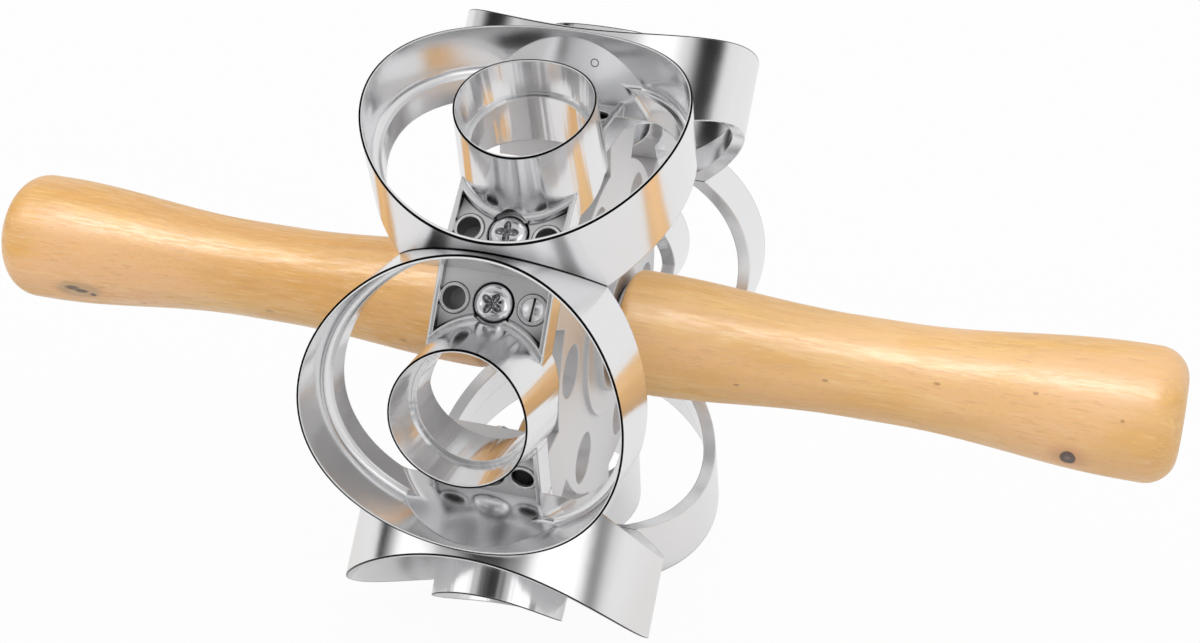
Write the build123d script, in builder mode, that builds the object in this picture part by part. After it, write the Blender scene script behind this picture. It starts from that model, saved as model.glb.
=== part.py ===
from build123d import *
import os
from math import cos, hypot, radians, sin, tan

os.makedirs("parts", exist_ok=True)

# A hand roller that stamps ring doughnuts. Six cast cutters sit round a cast hub, which turns on a
# steel spindle between two turned wooden handles. X runs along the spindle, towards the right handle,
# Y away from the user and Z up. The origin is on the spindle's axis, midway between the handles' ends.

# Driving dimensions, in millimetres and degrees

# Roller
cutter_count = 6
rim_radius = 79.2            # the cutting edges lie on this cylinder and roll on it
ring_foot_rise = 4.0         # the foot of each ring, above the hub's seats
seam_gap = 0.1               # between two neighbouring castings

# Outer ring of a cutter: an oval wall, a little longer along the spindle
ring_half_length = 40.8
ring_half_width = 38.3
ring_land = 3.5              # wall at the foot
ring_edge = 0.7              # wall at the cutting edge
ring_land_height = 7.0       # the thick foot ends here, and the wall thins towards the edge
wall_above_land = 1.9
land_cove = 2.0              # rounding between the land and the wall above it
end_wall = 1.6               # the wall along each seam
window_corner = 3.0

# Centre tube of a cutter
tube_radius = 17.5           # at its cutting edge
tube_foot_radius = 18.9
tube_edge = 0.5
bore_radius = 14.5
bore_land_rise = 6.0         # the narrow bore ends this far above the bar
bore_step = 1.2

# Bar that carries the tube, and its pockets
bar_half_width = 15.0
seat_radius = 54.0           # the bar's flat seats on the hub
bar_depth = 7.5
pocket_depth = 1.5
pocket_lip = 1.4
pocket_tube_gap = 0.7
screw_angle = 21.6           # of the screws and holes, from the cutter's middle
spare_hole_radius = 3.0
spare_hole_offset = 10.0
eyelet_wall = 0.7
eyelet_height = 0.4
bar_corner = 0.6

# Screws
screw_shank_radius = 2.5
screw_hole_gap = 0.1
screw_head_radius = 5.0
screw_head_gap = 0.4
spot_face_depth = 0.4        # the head's seat, below the pocket's floor
screw_head_round = 2.0
screw_head_height = 3.0
screw_length = 14.0
recess_width = 1.3
recess_length = 5.6
recess_depth = 1.7
plug_rise = 0.2              # slotted plug, above the pocket's floor
plug_length = 5.0
plug_slot_turn = 85.0
plug_slot_width = 0.6
plug_slot_depth = 1.2

# Hub
plate_thickness = 3.5
plate_waist_depth = 8.5      # the plate's edge under a cutter, below the seats
lug_depth = 6.5
lug_half_angle = 12.5
plate_hole_radius = 7.0
plate_hole_inset = 9.5       # from the plate's edge to the holes' centres
boss_radius = 17.0
boss_left_reach = 14.2       # from the cutters' middle plane
boss_right_reach = 18.2
boss_flange_radius = 24.0
boss_flange_height = 1.2
hub_fillet = 1.2

# Spindle, washers and inserts
spindle_radius = 5.0
running_gap = 0.05
end_play = 0.3
washer_radius = 12.0
washer_thickness = 1.5
washer_gap = 0.2
insert_radius = 7.5
insert_length = 18.0
insert_flange_radius = 10.0
insert_flange = 2.0
spindle_grip = 45.0          # how far the spindle goes into a handle
spindle_chamfer = 0.6
spindle_room = 2.0           # beyond the spindle's end in a handle
washer_chamfer = 0.25
handle_bore_gap = 0.5

# Handles
handle_length = 145.0
handle_inner_radius = 16.5
handle_waist_radius = 13.4
handle_head_radius = 17.5
handle_neck = 5.0            # straight length at the inner end
waist_start = 60.0
waist_end = 74.0
head_length = 12.0           # straight length at the outer end
handle_inner_round = 3.0
handle_outer_round = 8.0

# Places that follow from them

half_pitch = 180.0 / cutter_count
right_face = boss_right_reach + end_play + washer_thickness
left_face = boss_left_reach + end_play + washer_thickness
drum_x = (left_face - right_face) / 2
handle_face = (left_face + right_face) / 2
bar_radius = seat_radius + bar_depth
pocket_radius = bar_radius - pocket_depth
head_seat_radius = pocket_radius - spot_face_depth
ring_base_radius = seat_radius + ring_foot_rise
land_top_radius = ring_base_radius + ring_land_height
taper_radius = land_top_radius / 2   # the inside of a ring's wall widens from here to the rim
bore_step_radius = bar_radius + bore_land_rise
plate_waist_radius = seat_radius - plate_waist_depth
plate_hole_circle = plate_waist_radius - plate_hole_inset
head_start = handle_length - head_length
far = rim_radius * 1.2       # past everything that a cut has to clear
core = 1.0                   # cuts along a ray start this far out
fine = 0.001                 # for picking edges by size
loose = 0.01                 # the same, for the edges of a lofted face


def side_plane(x=0.0):
    """The plane across the spindle: its own X is a cutter's width, its own Y the way out."""
    return Plane(origin=(x, 0, 0), x_dir=(0, 1, 0), z_dir=(1, 0, 0))


def radial_plane(angle, radius):
    """A plane square to the ray at an angle from a cutter's middle, in the cutter's own frame."""
    out = (0, sin(radians(angle)), cos(radians(angle)))
    return Plane(origin=(0, out[1] * radius, out[2] * radius), x_dir=(1, 0, 0), z_dir=out)


def turned(angle, radius):
    """A plane of the roller, square to a ray at an angle from the first cutter's middle, going up."""
    out = (0, -cos(radians(angle)), sin(radians(angle)))
    return Plane(origin=(drum_x, out[1] * radius, out[2] * radius), x_dir=(1, 0, 0), z_dir=out)


def seam_place(number):
    """The frame of the seam after a cutter, with its own Z along the seam's middle."""
    return turned((number + 0.5) * 360 / cutter_count, 0)


def wedge(inset):
    """Makes the sketch of a cutter's share of the turn, its two faces moved in by inset."""
    tip = inset / sin(radians(half_pitch))
    spread = (far - tip) * tan(radians(half_pitch))
    with BuildSketch(Plane.XY) as shape:
        with BuildLine():
            Polyline((0, tip), (spread, far), (-spread, far), close=True)
        make_face()
    return shape.sketch_local


def two_flats(distance):
    """Makes the sketch of the space below two flats, one square to each screw of a cutter."""
    peak = distance / cos(radians(screw_angle))
    edge = distance / cos(radians(half_pitch - screw_angle))
    corner = (edge * sin(radians(half_pitch)), edge * cos(radians(half_pitch)))
    with BuildSketch(Plane.XY) as shape:
        with BuildLine():
            Polyline((0, 0), corner, (0, peak), (-corner[0], corner[1]), close=True)
        make_face()
    return shape.sketch_local


def lug_profile(distance):
    """Makes the sketch of a lug from the axis out to its two flats, which meet on the seam."""
    lean = half_pitch - screw_angle
    edge = distance / cos(radians(lug_half_angle - lean))
    corner = (edge * sin(radians(lug_half_angle)), edge * cos(radians(lug_half_angle)))
    with BuildSketch(Plane.XY) as shape:
        with BuildLine():
            Polyline((0, 0), corner, (0, distance / cos(radians(lean))), (-corner[0], corner[1]), close=True)
        make_face()
    return shape.sketch_local


def is_land_edge(edge):
    """Whether an edge runs along the foot of the wall above the land."""
    return all(abs(hypot((edge @ part).Y, (edge @ part).Z) - land_top_radius) < loose for part in (0, 0.5, 1))


def is_bar_edge(edge):
    """Whether an edge is one of the long outer ones along a bar's top."""
    place = edge @ 0.5
    rise = abs(place.Y) * sin(radians(screw_angle)) + place.Z * cos(radians(screw_angle))
    return abs(rise - bar_radius) < fine and abs(abs(place.X) - bar_half_width) < fine


def is_window_corner(edge):
    """Whether an edge is one of the four where a seam's wall meets the ring's foot."""
    place = edge @ 0.5
    off_seam = place.Z * sin(radians(half_pitch)) - abs(place.Y) * cos(radians(half_pitch))
    across = (place.X / (ring_half_length - ring_land)) ** 2 + (place.Y / (ring_half_width - ring_land)) ** 2
    return abs(off_seam - end_wall) < fine and abs(across - 1) < fine


# Window at the foot of a ring, in the cutter's own frame, with Z outwards

with BuildPart() as window:
    with BuildSketch(Plane.XY.offset(core)):
        Ellipse(ring_half_length - ring_land, ring_half_width - ring_land)
    extrude(amount=rim_radius)
    with BuildSketch(side_plane()):
        add(wedge(end_wall))
    extrude(amount=far, both=True, mode=Mode.INTERSECT)
    fillet(window.edges().filter_by(is_window_corner), window_corner)

# Dough chamber: the space inside a ring

with BuildPart() as chamber:
    with BuildSketch(Plane.XY.offset(taper_radius)):
        Ellipse(ring_half_length - wall_above_land, ring_half_width - wall_above_land)
    with BuildSketch(Plane.XY.offset(rim_radius)):
        Ellipse(ring_half_length - ring_edge, ring_half_width - ring_edge)
    loft()
    with BuildSketch(side_plane()):
        add(wedge(end_wall))
    extrude(amount=far, both=True, mode=Mode.INTERSECT)
    with BuildSketch(side_plane()):
        Circle(land_top_radius)
    extrude(amount=far, both=True, mode=Mode.SUBTRACT)
    fillet(chamber.edges().filter_by(is_land_edge), land_cove)
    add(window.part)

# Ring: an oval wall between two cylinders, cut flat along its seams

with BuildPart() as ring:
    with BuildSketch(Plane.XY.offset(core)):
        Ellipse(ring_half_length, ring_half_width)
    extrude(amount=rim_radius)
    with BuildSketch(side_plane()):
        add(wedge(seam_gap / 2))
    extrude(amount=far, both=True, mode=Mode.INTERSECT)
    with BuildSketch(side_plane()):
        Circle(rim_radius)
        Circle(ring_base_radius, mode=Mode.SUBTRACT)
    extrude(amount=far, both=True, mode=Mode.INTERSECT)
    add(chamber.part, mode=Mode.SUBTRACT)

# Pockets: the space above the bar, beside the tube, down to the pockets' floors

with BuildPart() as pockets:
    with BuildSketch(Plane.XY):
        Rectangle(2 * (bar_half_width - pocket_lip), 2 * far)
        Circle(tube_foot_radius + pocket_tube_gap, mode=Mode.SUBTRACT)
    extrude(amount=far)
    with BuildSketch(side_plane()):
        add(wedge(end_wall))
    extrude(amount=far, both=True, mode=Mode.INTERSECT)
    with BuildSketch(side_plane()):
        add(two_flats(pocket_radius))
    extrude(amount=far, both=True, mode=Mode.SUBTRACT)

# Tube: its outside and its stepped bore

with BuildPart() as tube_outside:
    with BuildSketch(Plane.XY.offset(seat_radius - bar_depth)):
        Circle(tube_foot_radius)
    with BuildSketch(Plane.XY.offset(rim_radius)):
        Circle(tube_radius)
    loft()
    with BuildSketch(side_plane()):
        Circle(rim_radius)
    extrude(amount=far, both=True, mode=Mode.INTERSECT)
    with BuildSketch(side_plane()):
        add(two_flats(seat_radius))
    extrude(amount=far, both=True, mode=Mode.SUBTRACT)

with BuildPart() as bore:
    with BuildSketch(Plane.XY):
        Circle(bore_radius)
    extrude(amount=far)
    with BuildSketch(Plane.XY.offset(bore_step_radius)):
        Circle(bore_radius + bore_step)
    with BuildSketch(Plane.XY.offset(rim_radius)):
        Circle(tube_radius - tube_edge)
    loft()

# Cutter: ring, bar and tube in one casting

with BuildPart() as cutter:
    with BuildSketch(side_plane()):
        add(wedge(seam_gap / 2))
    extrude(amount=bar_half_width, both=True)
    with BuildSketch(side_plane()):
        add(two_flats(bar_radius))
    extrude(amount=far, both=True, mode=Mode.INTERSECT)
    with BuildSketch(side_plane()):
        add(two_flats(seat_radius))
    extrude(amount=far, both=True, mode=Mode.SUBTRACT)
    fillet(cutter.edges().filter_by(is_bar_edge), bar_corner)
    add(pockets.part, mode=Mode.SUBTRACT)
    add(tube_outside.part)
    add(ring.part)
    for side in (-1, 1):
        # Eyelets round the spare holes, and the holes
        with BuildSketch(radial_plane(side * screw_angle, pocket_radius)):
            with Locations((-spare_hole_offset, 0), (spare_hole_offset, 0)):
                Circle(spare_hole_radius + eyelet_wall)
        extrude(amount=eyelet_height)
        with BuildSketch(radial_plane(side * screw_angle, pocket_radius + bar_depth)):
            with Locations((-spare_hole_offset, 0), (spare_hole_offset, 0)):
                Circle(spare_hole_radius)
            Circle(screw_shank_radius + screw_hole_gap)
        extrude(amount=-2 * bar_depth, mode=Mode.SUBTRACT)
        # The sunk spot face of the screw's head, which bites a little into the tube's foot
        with BuildSketch(radial_plane(side * screw_angle, head_seat_radius)):
            Circle(screw_head_radius + screw_head_gap)
        extrude(amount=rim_radius - head_seat_radius, mode=Mode.SUBTRACT)
    add(bore.part, mode=Mode.SUBTRACT)

# Screws: a pan head with a cross recess, resting on its spot face

with BuildPart() as screw:
    with BuildSketch(Plane.XY):
        Circle(screw_head_radius)
    extrude(amount=screw_head_height)
    fillet(screw.edges().sort_by(Axis.Z)[-1], screw_head_round)
    with BuildSketch(Plane.XY):
        Circle(screw_shank_radius)
    extrude(amount=-screw_length)
    with BuildSketch(Plane.XY.offset(screw_head_height)):
        Rectangle(recess_length, recess_width)
        Rectangle(recess_width, recess_length)
    extrude(amount=-recess_depth, mode=Mode.SUBTRACT)

with BuildPart() as cutter_screws:
    for number in range(cutter_count):
        for side in (-1, 1):
            turn = number * 360 / cutter_count + side * screw_angle
            with Locations(turned(turn, head_seat_radius).location):
                add(screw.part)

# Slotted plug in one of the spare holes of the first cutter

with BuildPart() as slotted_plug:
    with BuildSketch(turned(screw_angle, pocket_radius + plug_rise)):
        with Locations((spare_hole_offset, 0)):
            Circle(spare_hole_radius)
    extrude(amount=-plug_length)
    with BuildSketch(turned(screw_angle, pocket_radius + plug_rise)):
        with Locations((spare_hole_offset, 0)):
            Rectangle(far, plug_slot_width, rotation=plug_slot_turn)
    extrude(amount=-plug_slot_depth, mode=Mode.SUBTRACT)

# Hub: boss, plate and six lugs that carry the cutters' bars, in one casting

with BuildPart() as lug:
    with BuildSketch(side_plane()):
        add(lug_profile(seat_radius))
        add(lug_profile(seat_radius - lug_depth), mode=Mode.SUBTRACT)
    extrude(amount=bar_half_width, both=True)
    with BuildSketch(side_plane(bar_half_width - plate_thickness)):
        add(lug_profile(seat_radius))
    extrude(amount=plate_thickness)

with BuildPart() as hub:
    with BuildSketch(Plane.YZ.offset(drum_x + bar_half_width - plate_thickness)):
        Circle(plate_waist_radius)
    extrude(amount=plate_thickness)
    for number in range(cutter_count):
        with Locations(seam_place(number).location):
            add(lug.part)
    with BuildSketch(Plane.YZ.offset(drum_x - boss_left_reach)):
        Circle(boss_radius)
    extrude(amount=boss_left_reach + boss_right_reach)
    fillet(hub.edges().filter_by(GeomType.CIRCLE).filter_by(
        lambda edge: abs(edge.radius - boss_radius) < fine
        and abs(edge.arc_center.X - drum_x - bar_half_width + plate_thickness / 2) < plate_thickness), hub_fillet)
    with BuildSketch(Plane.YZ.offset(drum_x + bar_half_width)):
        Circle(boss_flange_radius)
        Circle(boss_radius, mode=Mode.SUBTRACT)
    extrude(amount=boss_flange_height)
    with BuildSketch(Plane.YZ.offset(drum_x)):
        Circle(spindle_radius + running_gap)
    extrude(amount=far, both=True, mode=Mode.SUBTRACT)
    with BuildSketch(Plane.YZ.offset(drum_x + bar_half_width)):
        with PolarLocations(plate_hole_circle, cutter_count):
            Circle(plate_hole_radius)
    extrude(amount=-bar_half_width, mode=Mode.SUBTRACT)
    for number in range(cutter_count):
        for side in (-1, 1):
            with BuildSketch(turned(number * 360 / cutter_count + side * screw_angle, head_seat_radius)):
                Circle(screw_shank_radius)
            extrude(amount=-screw_length, mode=Mode.SUBTRACT)

# Spindle

with BuildPart() as spindle:
    with BuildSketch(Plane.YZ.offset(-handle_face - spindle_grip)):
        Circle(spindle_radius)
    extrude(amount=2 * (handle_face + spindle_grip))
    chamfer(spindle.edges().filter_by(GeomType.CIRCLE), spindle_chamfer)

# Handles, inserts and washers, each drawn once with X running out of the drum from a handle's inner end

with BuildPart() as handle:
    with BuildSketch(Plane.XY):
        with BuildLine():
            Polyline((0, 0), (0, handle_inner_radius), (handle_neck, handle_inner_radius))
            Spline((handle_neck, handle_inner_radius), (waist_start, handle_waist_radius),
                   tangents=[(1, 0), (1, 0)])
            Line((waist_start, handle_waist_radius), (waist_end, handle_waist_radius))
            Spline((waist_end, handle_waist_radius), (head_start, handle_head_radius),
                   tangents=[(1, 0), (1, 0)])
            Polyline((head_start, handle_head_radius), (handle_length, handle_head_radius),
                     (handle_length, 0), (0, 0))
        make_face()
    revolve(axis=Axis.X)
    ends = handle.edges().filter_by(GeomType.CIRCLE).sort_by(Axis.X)
    fillet(ends[0], handle_inner_round)
    fillet(ends[-1], handle_outer_round)
    with BuildSketch(Plane.YZ):
        Circle(spindle_radius + handle_bore_gap)
    extrude(amount=spindle_grip + spindle_room, mode=Mode.SUBTRACT)
    with BuildSketch(Plane.YZ):
        Circle(insert_radius)
    extrude(amount=insert_length, mode=Mode.SUBTRACT)
    with BuildSketch(Plane.YZ):
        Circle(insert_flange_radius)
    extrude(amount=insert_flange, mode=Mode.SUBTRACT)

with BuildPart() as insert:
    with BuildSketch(Plane.YZ):
        Circle(insert_radius)
    extrude(amount=insert_length)
    with BuildSketch(Plane.YZ):
        Circle(insert_flange_radius)
    extrude(amount=insert_flange)
    with BuildSketch(Plane.YZ):
        Circle(spindle_radius)
    extrude(amount=insert_length, mode=Mode.SUBTRACT)

with BuildPart() as washer:
    with BuildSketch(Plane.YZ):
        Circle(washer_radius)
        Circle(spindle_radius + washer_gap, mode=Mode.SUBTRACT)
    extrude(amount=-washer_thickness)
    chamfer(washer.edges().filter_by(GeomType.CIRCLE).filter_by(
        lambda edge: edge.radius > spindle_radius + 2 * washer_gap), washer_chamfer)

# Files, one for each named piece

pieces = {
    "cutter_screws": cutter_screws.part,
    "slotted_plug": slotted_plug.part,
    "hub": hub.part,
    "spindle": spindle.part,
}
for number in range(cutter_count):
    pieces[f"cutter_{number + 1}"] = turned(number * 360 / cutter_count, 0).location * cutter.part
for side, way in (("left", -1), ("right", 1)):
    end = Plane(origin=(way * handle_face, 0, 0), x_dir=(way, 0, 0), z_dir=(0, 0, 1)).location
    pieces[f"{side}_handle"] = end * handle.part
    pieces[f"{side}_insert"] = end * insert.part
    pieces[f"{side}_washer"] = end * washer.part
for name, piece in pieces.items():
    piece.label = name
    export_step(piece, f"parts/{name}.step")
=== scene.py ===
import math
import bpy
from mathutils import Matrix, Vector


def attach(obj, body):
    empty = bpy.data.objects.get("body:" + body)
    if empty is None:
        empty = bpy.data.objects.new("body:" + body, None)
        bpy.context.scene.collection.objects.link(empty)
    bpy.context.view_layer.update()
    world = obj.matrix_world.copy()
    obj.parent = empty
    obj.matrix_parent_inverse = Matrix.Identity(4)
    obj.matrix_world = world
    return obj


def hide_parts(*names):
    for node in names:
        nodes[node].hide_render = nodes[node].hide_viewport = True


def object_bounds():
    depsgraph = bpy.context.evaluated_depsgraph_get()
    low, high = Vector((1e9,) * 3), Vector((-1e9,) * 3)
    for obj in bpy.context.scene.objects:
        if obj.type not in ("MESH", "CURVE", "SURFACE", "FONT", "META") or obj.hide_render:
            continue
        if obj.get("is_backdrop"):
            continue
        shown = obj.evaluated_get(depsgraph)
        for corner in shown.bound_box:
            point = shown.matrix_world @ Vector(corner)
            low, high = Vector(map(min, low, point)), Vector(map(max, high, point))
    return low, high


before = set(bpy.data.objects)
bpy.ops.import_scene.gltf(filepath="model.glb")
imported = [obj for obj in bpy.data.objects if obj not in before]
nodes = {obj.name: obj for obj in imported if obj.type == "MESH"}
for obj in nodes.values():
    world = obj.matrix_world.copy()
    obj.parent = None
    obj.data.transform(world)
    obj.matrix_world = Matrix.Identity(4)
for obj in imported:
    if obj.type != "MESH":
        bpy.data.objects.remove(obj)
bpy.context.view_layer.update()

scene = bpy.context.scene

# Sizes of the roller, in metres

drum_x = -0.002
rim_radius = 0.0792
ring_half_length = 0.0408
ring_half_width = 0.0383
half_cutter = math.pi / 6           # half the angle that one cutter takes of the drum
edge_share = 0.0007 / 0.0395        # width of the cutting edge against the ring's radius
dark_share = 0.72                   # how far inwards the painted dark reflection on the edge runs, against that width
bright_reach = 1.3                  # and its painted highlight line
pocket_radius = 0.06                # from the roller's axis to the floor of a screw's pocket
lip_inside = 0.0136                 # half the width of a pocket between its lips
tube_foot_radius = 0.0189
tube_inner_radius = 0.0164
tube_line_radius = 0.01704          # where the tube's edge turns from painted highlight to painted dark reflection
tube_outer_radius = 0.018
tube_fade = 0.0192, 0.0194          # where the streaks drawn along the tube end
tube_shade_radius = 0.01985         # and the shade round its foot
screw_angle = 21.6
screw_lean = math.radians(screw_angle)
spare_hole_offset = 0.01
spare_hole_radius = 0.00312
eyelet_line = 0.00372, 0.00402      # inner and outer radius of the painted shadow line round a spare hole
head_line = 0.0047, 0.0053          # and of the one round a screw's head
pin_line = 0.00085, 0.00112         # and of the small round mark on an end wall
pin_across, pin_radius = 0.00643, 0.07139
end_wall = 0.0008, 0.0024           # how far from the seam an end wall's inside lies, at least and at most
seam_line_width = 0.00016
head_seat_radius = 0.0596
head_radius = 0.0048
head_side = 0.0008
head_top = 0.00253
shank_radius = 0.0025
shank_length = 0.0132
far = 1.0                           # beyond everything on the roller
floor_z = -rim_radius


# Shader helpers

class Socket:
    """One shader output, on which Python's arithmetic adds Math nodes."""

    def __init__(self, shader, link):
        self.shader, self.link = shader, link

    def _math(self, operation, *values):
        return self.shader.node("ShaderNodeMath", {"operation": operation}, values)

    def __add__(self, other):
        return self._math("ADD", self, other)

    def __sub__(self, other):
        return self._math("SUBTRACT", self, other)

    def __rsub__(self, other):
        return self._math("SUBTRACT", other, self)

    def __mul__(self, other):
        return self._math("MULTIPLY", self, other)

    def __truediv__(self, other):
        return self._math("DIVIDE", self, other)

    def __pow__(self, other):
        return self._math("POWER", self, other)

    __radd__, __rmul__ = __add__, __mul__

    def __abs__(self):
        return self._math("ABSOLUTE", self)

    def angle(self, other):
        """The angle whose sine goes as this value and whose cosine goes as the other one."""
        return self._math("ARCTAN2", self, other)

    def clamp(self):
        return self._math("MINIMUM", self._math("MAXIMUM", self, 0.0), 1.0)

    def out(self, name):
        """Another output of the same node."""
        return Socket(self.shader, self.link.node.outputs[name])


class Shader:
    """A material's or the world's node tree."""

    def __init__(self, name, owner=None, **constants):
        self.material = owner or bpy.data.materials.new(name)
        self.material.use_nodes = True
        self.tree = self.material.node_tree
        self.surface = self.tree.nodes["Background" if owner else "Principled BSDF"]
        for key, value in constants.items():
            self.surface.inputs[key.replace("_", " ")].default_value = value

    def plug(self, socket, value):
        if isinstance(value, Socket):
            self.tree.links.new(value.link, socket)
        else:
            socket.default_value = value

    def node(self, kind, settings=None, values=(), output=0):
        """Adds a node. Settings come first, then the values or links of its sockets by name or in order."""
        made = self.tree.nodes.new(kind)
        stops = None
        for key, value in (settings or {}).items():
            if key == "stops":
                stops = value
            else:
                setattr(made, key, value)
        if stops:
            ramp = made.color_ramp
            while len(ramp.elements) < len(stops):
                ramp.elements.new(0.5)
            for element, (place, colour) in zip(ramp.elements, stops):
                element.position = place
                element.color = (*colour, 1) if len(colour) == 3 else colour
        pairs = values.items() if isinstance(values, dict) else enumerate(values)
        for key, value in pairs:
            self.plug(made.inputs[key], value)
        return Socket(self, made.outputs[output])

    def point(self):
        return self.node("ShaderNodeTexCoord").out("Object")

    def mapped(self, scale=(1, 1, 1), turn=(0, 0, 0), shift=(0, 0, 0)):
        return self.node("ShaderNodeMapping", None,
                         {"Vector": self.point(), "Scale": scale, "Rotation": turn, "Location": shift})

    def noise(self, scale, detail, roughness, distortion=0.0, vector=None):
        return self.node("ShaderNodeTexNoise", None, {
            "Vector": vector or self.point(), "Scale": scale, "Detail": detail,
            "Roughness": roughness, "Distortion": distortion})

    def ramp(self, value, *stops):
        return self.node("ShaderNodeValToRGB", {"stops": stops}, {"Fac": value})

    def mix(self, factor, a, b):
        return self.node("ShaderNodeMix", {"data_type": "RGBA"}, {0: factor, 6: a, 7: b}, 2)

    def bump(self, height, distance, strength, normal=None):
        values = {"Height": height, "Distance": distance, "Strength": strength}
        if normal:
            values["Normal"] = normal
        return self.node("ShaderNodeBump", None, values)

    def set(self, **values):
        for key, value in values.items():
            self.plug(self.surface.inputs[key.replace("_", " ")], value)
        return self.material


def grey(value):
    return (value, value, value, 1.0)


def length(*parts):
    return sum((part * part for part in parts[1:]), parts[0] * parts[0]) ** 0.5


def fade(value, low, high, at_low=0.0, at_high=1.0):
    """Goes smoothly from one number to another while a value goes from one limit to the other."""
    return value.shader.node("ShaderNodeMapRange", {"interpolation_type": "SMOOTHSTEP"}, {
        "Value": value, "From Min": low, "From Max": high, "To Min": at_low, "To Max": at_high})


def band(value, low, high, soft):
    """1 where a value lies between two limits, fading out over a soft edge."""
    return fade(value, low - soft, low + soft) * (1.0 - fade(value, high - soft, high + soft))


# Finishes

# Near-black for painted shade and real marks, and the darkest colour of the painted corner shade
shade_and_mark_black, deep_shade = (0.008, 0.008, 0.009, 1), (0.02, 0.02, 0.022, 1)
shading_rays = 6


def unevenness(shader, ripple_scale):
    """Three noises that every metal has: a slow haze, the ripple of its skin and a fine grain."""
    return shader.noise(45, 3, 0.5), shader.noise(ripple_scale, 2, 0.4), shader.noise(3200, 2, 0.6)


def softened(shader, rounding, *bumps):
    """Normal with rounded edges and bumps on it, each given as a height, a distance and a strength."""
    normal = shader.node("ShaderNodeBevel", {"samples": shading_rays}, {"Radius": rounding})
    for bump in bumps:
        normal = shader.bump(*bump, normal)
    return normal


def painted_hollow_shade(shader, reach, darkest):
    """Painted shade: falls from 1 on open metal to darkest in corners and holes, as ambient occlusion finds
    them.
    """
    seen = shader.node("ShaderNodeAmbientOcclusion", {"samples": shading_rays}, {"Distance": reach}).out("AO")
    return shader.node("ShaderNodeMapRange", None,
                       {"Value": seen, "From Min": 0.15, "From Max": 0.85, "To Min": darkest, "To Max": 1.0})


def cast_metal(name, tint, rough, haze_rough, rounding, ripple_height, reach, darkest, dome=None):
    """Metal with soft edges, haze in places and painted shade in its corners, domed round a place where one
    is given.
    """
    shader = Shader(name, Metallic=1.0)
    haze, ripple, grain = unevenness(shader, 90)
    bumps = [(ripple, ripple_height, 0.5), (grain, 0.000003, 0.4)]
    if dome:
        away = shader.node("ShaderNodeVectorMath", {"operation": "DISTANCE"}, (shader.point(), dome), "Value")
        bumps.append((away * away * -100.0, 1.0, 1.0))
    # Painted shade: the colour darkens towards corners and holes
    colour = shader.mix(painted_hollow_shade(shader, reach, darkest), deep_shade, tint)
    return shader.set(Base_Color=colour, Roughness=rough + haze * haze_rough,
                      Normal=softened(shader, rounding, *bumps))


def own_frame(shader):
    """Places in a cutter's own frame: across, round, outwards, and their distance from the roller's axis."""
    axes = shader.node("ShaderNodeSeparateXYZ", None, {"Vector": shader.point()})
    y, z = axes.out("Y"), axes.out("Z")
    own = shader.node("ShaderNodeMath", {"operation": "WRAP"}, (z.angle(y * -1.0), half_cutter, -half_cutter))
    radius = length(y, z)
    side = shader.node("ShaderNodeMath", {"operation": "SINE"}, (own,)) * radius
    out = shader.node("ShaderNodeMath", {"operation": "COSINE"}, (own,)) * radius
    return axes - drum_x, side, out, radius


class Cutter:
    """Masks on a cutter casting: its pockets' floors and tube, the painted highlight and painted dark
    reflection on its cutting edges, and the painted shade and real marks drawn on it.
    """

    def __init__(self, shader):
        across, side, out, radius = own_frame(shader)
        plan = length(across, side)
        away, apart = abs(across), abs(side)
        rise = apart * math.sin(screw_lean) + out * math.cos(screw_lean)
        along = apart * math.cos(screw_lean) - out * math.sin(screw_lean)
        from_hole = length(away - spare_hole_offset, along)
        self.around = side.angle(across)
        self.tube = 1.0 - shader.node("ShaderNodeMapRange", None,
                                      {"Value": plan, "From Min": tube_fade[0], "From Max": tube_fade[1]})
        self.floor = (band(rise, pocket_radius - 0.0006, pocket_radius + 0.0002, 0.00008)
                      * band(away, -far, lip_inside, 0.00003) * band(plan, tube_foot_radius, far, 0.00005))

        # Cutting edges: a painted highlight line inside, a painted dark reflection outside; the tube's rim
        # gets the same
        oval = length(across / ring_half_length, side / ring_half_width)
        at_rim = band(radius, rim_radius - 0.0002, rim_radius + 0.001, 0.00005)
        turning = 1 - dark_share * edge_share
        bright = (band(oval, 1 - bright_reach * edge_share, turning, 0.06 * edge_share)
                  + band(plan, tube_inner_radius, tube_line_radius, 0.00004))
        dark = (band(oval, turning, 1 + edge_share, 0.06 * edge_share)
                + band(plan, tube_line_radius, tube_outer_radius, 0.00004))
        self.polished = (bright * at_rim).clamp()

        # Painted shadow rings round the screws' heads and spare holes, and painted shade under the lips and
        # in the corners of the pockets' floors
        round_head = band(length(across, along), *head_line, 0.00008)
        round_eyelet = band(from_hole, *eyelet_line, 0.00007)
        under_lip = band(away, lip_inside - 0.0003, far, 0.0001) + band(plan, 0.0, tube_shade_radius, 0.0001)
        corner = 1.0 - fade(length(away - lip_inside, along + 0.0086), 0.0005, 0.0065)
        painted_floor_shade = round_head + 0.8 * round_eyelet + 0.5 * under_lip + 0.75 * corner

        # Painted shade in the bores, the mark of a casting pin and the seams to the next cutters
        bore = ((1.0 - band(from_hole, spare_hole_radius, far, 0.00005))
                * (1.0 - band(rise, pocket_radius - 0.0004, far, 0.0002)) * band(rise, 0.05, far, 0.0001))
        sine, cosine = math.sin(half_cutter), math.cos(half_cutter)
        pin_mark = (band(length(across - pin_across, radius - pin_radius), *pin_line, 0.00006)
                    * band(out * sine - side * cosine, *end_wall, 0.0001) * band(side, 0.0, far, 0.0001))
        seam = band(out * sine - apart * cosine, -far, seam_line_width, 0.00005)
        # One darkening mask: painted dark reflection on the edges, painted shadow and shade on the floors and
        # in the bores, and the real pin mark and seams
        self.lines = 1.0 - (dark * at_rim + painted_floor_shade.clamp() * self.floor + 0.7 * bore
                            + 0.85 * pin_mark + 0.9 * seam).clamp()


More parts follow.
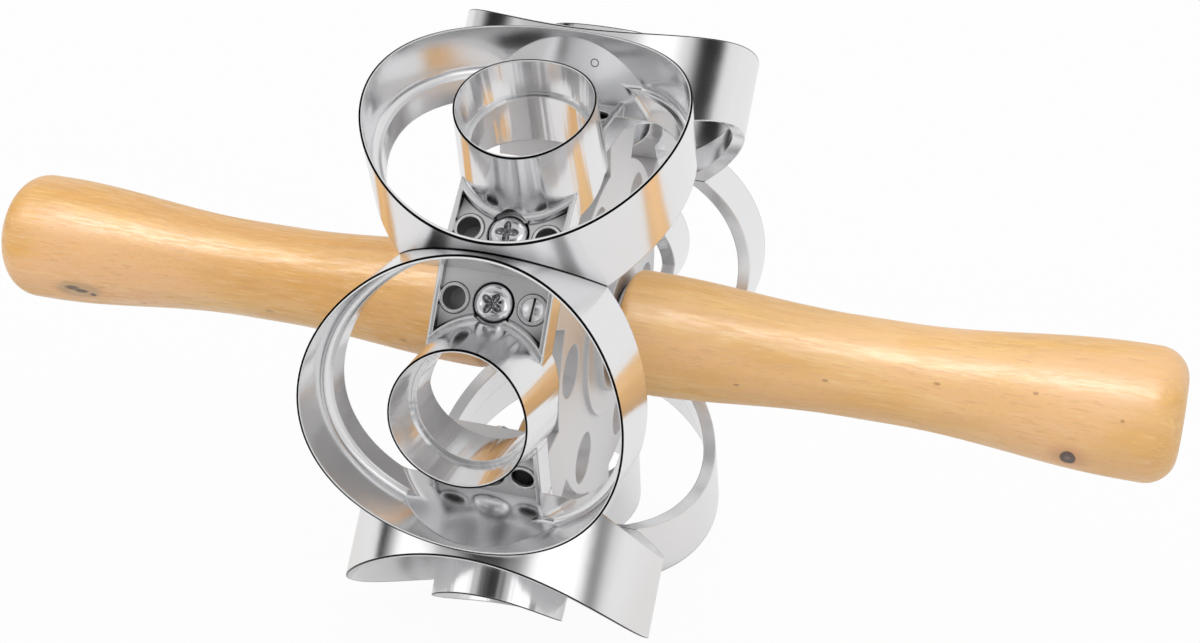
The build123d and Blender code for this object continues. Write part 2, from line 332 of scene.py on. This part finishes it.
def cutter_casting(name, tint):
    """Polished aluminium with drawn streaks along its tube and rougher pocket floors, painted highlights and
    painted dark reflections on its cutting edges, and painted shade in its corners, bores and round its
    screws.
    """
    shader = Shader(name)
    cutter = Cutter(shader)
    haze, ripple, grain = unevenness(shader, 70)
    turned = shader.node("ShaderNodeCombineXYZ", None, (cutter.around, 0.0, 0.0))
    streaks = shader.noise(3.4, 2, 0.5, 0.0, turned)
    normal = softened(shader, 0.0005, (streaks * cutter.tube, 0.0009, 0.35), (ripple, 0.00002, 0.4),
                      (grain, 0.000003, 0.4))
    # Painted shade darkens the corners, holes and drawn-in shade and marks; then the painted highlight
    # whitens the cutting edges
    colour = shader.mix(painted_hollow_shade(shader, 0.006, 0.62) * cutter.lines, shade_and_mark_black, tint)
    # Painted highlight: the cutting edges' bright line is whitened and loses its metal
    colour = shader.mix(cutter.polished, colour, grey(0.98))
    return shader.set(Base_Color=colour, Metallic=1.0 - cutter.polished, Normal=normal,
                      Roughness=0.12 + haze * 0.09 + cutter.floor * 0.22)


plug_place = (drum_x + spare_hole_offset, -pocket_radius * math.cos(screw_lean),
              pocket_radius * math.sin(screw_lean))
cutter_finish = cutter_casting("polished aluminium", (0.89, 0.89, 0.9, 1))
hub_finish = cast_metal("cast aluminium", (0.85, 0.85, 0.86, 1), 0.5, 0.1, 0.0006, 0.00001, 0.006, 0.6)
steel_finish = cast_metal("bright steel", (0.88, 0.88, 0.9, 1), 0.07, 0.03, 0.0002, 0.000004, 0.003, 0.05)
turned_steel = cast_metal("turned steel", (0.82, 0.82, 0.84, 1), 0.25, 0.08, 0.0003, 0.00001, 0.006, 0.8)
brass_finish = cast_metal("turned brass", (0.8, 0.62, 0.32, 1), 0.18, 0.1, 0.0003, 0.00001, 0.006, 0.4)
plug_finish = cast_metal("plug steel", (0.92, 0.92, 0.93, 1), 0.24, 0.04, 0.0002, 0.000004, 0.0012, 0.1,
                         plug_place)


def spot(shader, centre, size, soft):
    """1 inside an oval mark at a place, 0 outside."""
    scale = tuple(1 / s for s in size)
    shift = tuple(-c * k for c, k in zip(centre, scale))
    near = shader.node("ShaderNodeVectorMath", {"operation": "LENGTH"},
                       (shader.mapped(scale, shift=shift),), "Value")
    return fade(near, 1 - soft, 1 + soft, 1.0, 0.0)


def varnished_maple(name, seed, pale_share, shine, marks):
    """Honey-coloured wood under a streaky clear varnish, its grain along the handle, with its own marks."""
    shader = Shader(name, Coat_Roughness=0.33)
    grain = shader.mapped((0.09, 1.0, 1.0), (0, math.radians(2.5), math.radians(1.5)), (seed, seed * 2, 0))
    figure = shader.noise(95, 3, 0.5, 0.5, grain)
    streaks = shader.noise(420, 3, 0.6, 0.3, grain)
    fibres = shader.noise(1500, 3, 0.65, 0.1, grain)
    wash = shader.noise(28, 2, 0.5, 0.3, shader.mapped((0.35, 1.0, 1.0), shift=(0, seed, 0)))
    gold = shader.noise(90, 3, 0.6, 0.4, shader.mapped((0.2, 1.0, 1.0), shift=(seed * 3, 0, seed)))
    gleam = shader.noise(1300, 4, 0.8, 0.2,
                         shader.mapped((0.06, 1.0, 1.0), (0, math.radians(2.5), 0), (0, 0, seed)))
    ragged = (fibres - 0.5) * 0.35
    colour = shader.ramp(figure + ragged * 0.5, (0.3, (0.74, 0.37, 0.1)), (0.46, (0.81, 0.45, 0.15)),
                         (0.6, (0.87, 0.52, 0.18)), (0.74, (0.92, 0.6, 0.28)))
    layers = [(band(gold + ragged, 0.52, 1.0, 0.05) * 0.65, (0.8, 0.41, 0.07, 1)),
              (band(streaks, 0.52, 0.9, 0.1) * 0.35, (0.66, 0.32, 0.09, 1)),
              (band(wash + ragged, 0.51, 0.9, 0.06) * 0.6, (0.94, 0.54, 0.29, 1)),
              (band(fibres, 0.6, 0.95, 0.05) * 0.4, (0.56, 0.27, 0.08, 1)),
              (band(fibres, 0.1, 0.4, 0.04) * 0.25, (0.99, 0.74, 0.44, 1)),
              (pale_share, (0.99, 0.68, 0.34, 1))]
    layers += [(spot(shader, centre, size, soft) * strength, tone)
               for centre, size, tone, strength, soft in marks]
    for share, tone in layers:
        colour = shader.mix(share, colour, tone)
    varnish = (0.12 + band(gleam, 0.5, 1.0, 0.05) * 0.88) * shine
    return shader.set(Base_Color=colour, Roughness=0.36 + fibres * 0.2,
                      Normal=shader.bump(fibres, 0.00006, 0.4), Coat_Weight=varnish)


# Knots and flecks: each has its middle, its half sizes, its colour, how strong it is and how soft its edge

knot_halo, knot_dark, knot_grey = (0.6, 0.27, 0.14, 1), (0.06, 0.035, 0.028, 1), (0.2, 0.15, 0.13, 1)
fleck_brown, knot_beige = (0.36, 0.17, 0.06, 1), (0.56, 0.37, 0.19, 1)


def flecks(*places):
    """Small dark dashes along the grain, each given by half its length and its place."""
    return tuple((place, (size, 0.0004, 0.0004), fleck_brown, 0.65, 0.5) for size, *place in places)


right_knot, left_knot = (0.1367, -0.0136, -0.01), (-0.1375, -0.0142, -0.0093)
right_marks = (
    (right_knot, (0.0046, 0.0042, 0.0042), knot_halo, 0.55, 0.6),
    (right_knot, (0.0020, 0.0028, 0.0028), knot_dark, 0.95, 0.12),
    (right_knot, (0.0007, 0.0009, 0.0009), knot_grey, 0.7, 0.5)) + flecks(
    (0.0008, 0.0514, -0.0140, -0.0051), (0.0008, 0.0741, -0.0134, -0.0001), (0.0009, 0.1023, -0.0131, 0.0038),
    (0.0007, 0.1268, -0.0148, 0.0061), (0.0005, 0.1484, -0.0171, 0.0034))
left_marks = (
    (left_knot, (0.0080, 0.0042, 0.0042), knot_halo, 0.25, 0.3),
    (left_knot, (0.0064, 0.0033, 0.0033), knot_beige, 0.75, 0.2),
    ((-0.1392, -0.0147, -0.0086), (0.0021, 0.0009, 0.0009), knot_dark, 0.8, 0.5),
    ((-0.1366, -0.0141, -0.0095), (0.0019, 0.0008, 0.0008), knot_dark, 0.85, 0.4),
    ((-0.1336, -0.0132, -0.0105), (0.0009, 0.0007, 0.0008), knot_dark, 0.85, 0.4)) + flecks(
    (0.0009, -0.1195, -0.0099, -0.0115), (0.0012, -0.0807, -0.0113, -0.0071),
    (0.0011, -0.0408, -0.0134, -0.0083))

finishes = {"hub": hub_finish, "cutter_screws": steel_finish, "slotted_plug": plug_finish,
            "spindle": turned_steel, "left_washer": turned_steel, "right_washer": turned_steel,
            "left_insert": brass_finish, "right_insert": brass_finish,
            "left_handle": varnished_maple("left maple", 1.3, 0.05, 1.0, left_marks),
            "right_handle": varnished_maple("right maple", 4.1, 0.22, 0.7, right_marks)}
for name, node in nodes.items():
    node.data.materials.clear()
    node.data.materials.append(finishes.get(name, cutter_finish))


# Screws: a domed pan head with four scooped lobes as its recess

def choose(*pieces):
    """Selects these objects alone, with the last one active."""
    bpy.ops.object.select_all(action="DESELECT")
    for piece in pieces:
        piece.select_set(True)
        bpy.context.view_layer.objects.active = piece


def start_piece(name, kind, **size):
    choose()
    getattr(bpy.ops.mesh, "primitive_" + kind + "_add")(**size)
    made = bpy.context.object
    made.name = name
    return made


def pick_faces(mesh, wanted):
    """Selects the faces for whose middle and normal the test is true, and nothing else."""
    for group in (mesh.vertices, mesh.edges, mesh.polygons):
        for item in group:
            item.select = False
    for face in mesh.polygons:
        face.select = wanted(face.center, face.normal)


def edit(piece, wanted, *steps):
    """Runs edit-mode operators one after another on the faces that the test picks."""
    pick_faces(piece.data, wanted)
    bpy.ops.object.mode_set(mode="EDIT")
    bpy.ops.mesh.select_mode(type="FACE")
    for operator, settings in steps:
        operator(**settings)
    bpy.ops.object.mode_set(mode="OBJECT")


def finish_modifier(piece, kind, **settings):
    made = piece.modifiers.new(kind.lower(), kind)
    for key, value in settings.items():
        setattr(made, key, value)
    bpy.ops.object.modifier_apply(modifier=made.name)


def screw_model():
    head = start_piece("screw_model", "cylinder", vertices=48, radius=head_radius,
                       depth=head_side, location=(0, 0, head_side / 2))
    inset = bpy.ops.mesh.inset
    dome = (0.0004, 0.00055), (0.0006, 0.0005), (0.0009, 0.0004), (0.0011, 0.00022), (0.001, 0.00006)
    edit(head, lambda at, normal: normal.z > 0.9,
         *((inset, {"thickness": width, "depth": height}) for width, height in dome))
    edit(head, lambda at, normal: normal.z < -0.9,
         (inset, {"thickness": head_radius - shank_radius, "depth": 0.0}),
         (bpy.ops.mesh.extrude_region_move, {"TRANSFORM_OT_translate": {"value": (0, 0, -shank_length)}}),
         (inset, {"thickness": 0.0006, "depth": 0.0006}))
    lobes = start_piece("lobes", "uv_sphere", segments=24, ring_count=14, radius=1)
    bpy.ops.transform.resize(value=(0.0015, 0.00095, 0.0016))
    bpy.ops.transform.translate(value=(0.0015, 0, head_top))
    bpy.ops.object.transform_apply()
    others = []
    for quarter in range(1, 4):
        choose(lobes)
        bpy.ops.object.duplicate()
        other = bpy.context.object
        other.matrix_world = Matrix.Rotation(quarter * math.pi / 2, 4, "Z")
        bpy.ops.object.transform_apply()
        others.append(other)
    choose(*others, lobes)
    bpy.ops.object.join()
    choose(head)
    finish_modifier(head, "BOOLEAN", operation="DIFFERENCE", solver="EXACT", use_self=True, object=lobes)
    bpy.data.objects.remove(lobes)
    finish_modifier(head, "BEVEL", width=0.00012, segments=2, limit_method="ANGLE",
                    angle_limit=math.radians(40))
    bpy.ops.object.shade_smooth_by_angle(angle=math.radians(35))
    return head


def seat_frame(angle, radius, spin):
    """Where a screw sits: its own Z along the ray at an angle up from the camera's side."""
    out = Vector((0, -math.cos(angle), math.sin(angle)))
    across = Vector((1, 0, 0))
    axes = Matrix((across, out.cross(across), out)).transposed().to_4x4()
    return Matrix.Translation(Vector((drum_x, 0, 0)) + radius * out) @ axes @ Matrix.Rotation(spin, 4, "Z")


screw = screw_model()
screw.data.materials.append(steel_finish)
for number in range(12):
    angle = math.radians(60 * (number // 2) + (screw_angle if number % 2 else -screw_angle))
    copy = bpy.data.objects.new(f"screw_{number + 1}", screw.data.copy())
    scene.collection.objects.link(copy)
    copy.data.transform(seat_frame(angle, head_seat_radius, math.radians(20 + 37 * number)))
    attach(copy, "drum")
    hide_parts("cutter_screws")
bpy.data.objects.remove(screw)


# Floor, light and camera

floor = start_piece("floor", "plane", size=8, location=(0, 3.7, floor_z))
paper = Shader("white paper", Roughness=0.9, Base_Color=(0.93, 0.93, 0.93, 1))
lit = paper.node("ShaderNodeEmission", None, {"Strength": 1.0})
path = paper.node("ShaderNodeLightPath")
seen, glossy = path.out("Is Camera Ray") + path.out("Is Transmission Ray"), path.out("Is Glossy Ray")
shown = (seen + glossy * 0.5).clamp()
reflecting = Socket(paper, paper.surface.outputs[0])
whitened = paper.node("ShaderNodeMixShader", None, {0: shown * 0.95, 1: reflecting, 2: lit})
paper.plug(paper.tree.nodes["Material Output"].inputs["Surface"], whitened)
floor.data.materials.append(paper.material)
floor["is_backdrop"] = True

world = bpy.data.worlds.new("studio")
scene.world = world
studio = Shader("studio", world)
axes = studio.node("ShaderNodeSeparateXYZ", None, {"Vector": studio.node("ShaderNodeTexCoord")})
bearing = axes.angle(axes.out("Y") * -1.0) * math.degrees(1)
rise = axes.out("Z")


def across(*stops):
    """Grey that changes with the bearing, in degrees to the right of the camera's side of the studio."""
    return studio.ramp(bearing / 360 + 0.5, *((at / 360 + 0.5, (level,) * 3) for at, level in stops))


ground = fade(rise, -0.15, 0.02)
mirrored = studio.mix(ground, grey(0.58), across(
    (-180, 0.74), (-125, 0.62), (-25, 0.5), (25, 0.46), (42, 0.76), (100, 0.76), (128, 0.86)))

# Soft-edged grey cards that hang in the studio: how light each is, its two bearings and its two heights
for light, left, right, low, high in (
        (0.4, -28, 27, 0.12, 0.42), (0.25, -26, 25, 0.42, 0.63), (0.02, -15, 13, -0.05, 0.15),
        (0.0, -17, 13, 0.38, 0.57), (0.01, -111, -84, -0.1, 0.54), (0.01, 86, 115, 0.12, 0.42),
        (0.2, 74, 86, -0.1, 0.36), (1.2, 33, 73, 0.0, 0.68), (1.2, -77, -44, 0.11, 0.44),
        (0.64, -75, 45, 0.66, 0.86), (0.4, -95, -35, 0.86, 1.1)):
    on_card = band(bearing, left, right, 6.0) * band(rise, low, high, 0.05)
    mirrored = studio.mix(on_card, mirrored, grey(light))
path = studio.node("ShaderNodeLightPath")
seen, glossy = path.out("Is Camera Ray") + path.out("Is Transmission Ray"), path.out("Is Glossy Ray")
plain = studio.mix(seen.clamp(), grey(0.8), grey(1.0))
studio.set(Color=studio.mix(glossy, plain, mirrored), Strength=1.0)

scene.view_settings.view_transform = "Standard"


def handle_lamp(name, width, watts):
    """A long lamp above and in front, which lights only the two handles."""
    place = Vector((-0.1, -0.55, 0.8))
    bpy.ops.object.light_add(type="AREA", location=place)
    made = bpy.context.object
    made.name = name
    made.data.shape = "RECTANGLE"
    made.data.size, made.data.size_y = 1.0, width
    made.data.energy = watts
    made.rotation_mode = "QUATERNION"
    made.rotation_quaternion = (-place).to_track_quat("-Z", "Y")
    made.light_linking.receiver_collection = handles
    return made


handles = bpy.data.collections.new("lit handles")
for name in ("left_handle", "right_handle"):
    handles.objects.link(nodes[name])
handle_lamp("strip", 0.12, 3.4).visible_glossy = False
handle_lamp("gloss", 0.42, 12.0).visible_diffuse = False

picture_width = 1200
shift_right = 6.5                   # of the picture, in its pixels, so that both handles' ends show
camera_data = bpy.data.cameras.new("camera")
camera = bpy.data.objects.new("camera", camera_data)
scene.collection.objects.link(camera)
scene.camera = camera
camera_data.sensor_width = 36.0
camera_data.lens = 62.6
camera_data.shift_x = -shift_right / picture_width
camera_data.clip_start, camera_data.clip_end = 0.01, 20.0
right = Vector((0.95923, 0.2746, 0.0668))
up = Vector((-0.15459, 0.3119, 0.9375))
back = right.cross(up).normalized()
up = back.cross(right).normalized()
turned = Matrix((right, up, back)).transposed().to_4x4()
camera.matrix_world = Matrix.Translation((0.1443, -0.5086, 0.1923)) @ turned

low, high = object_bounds()
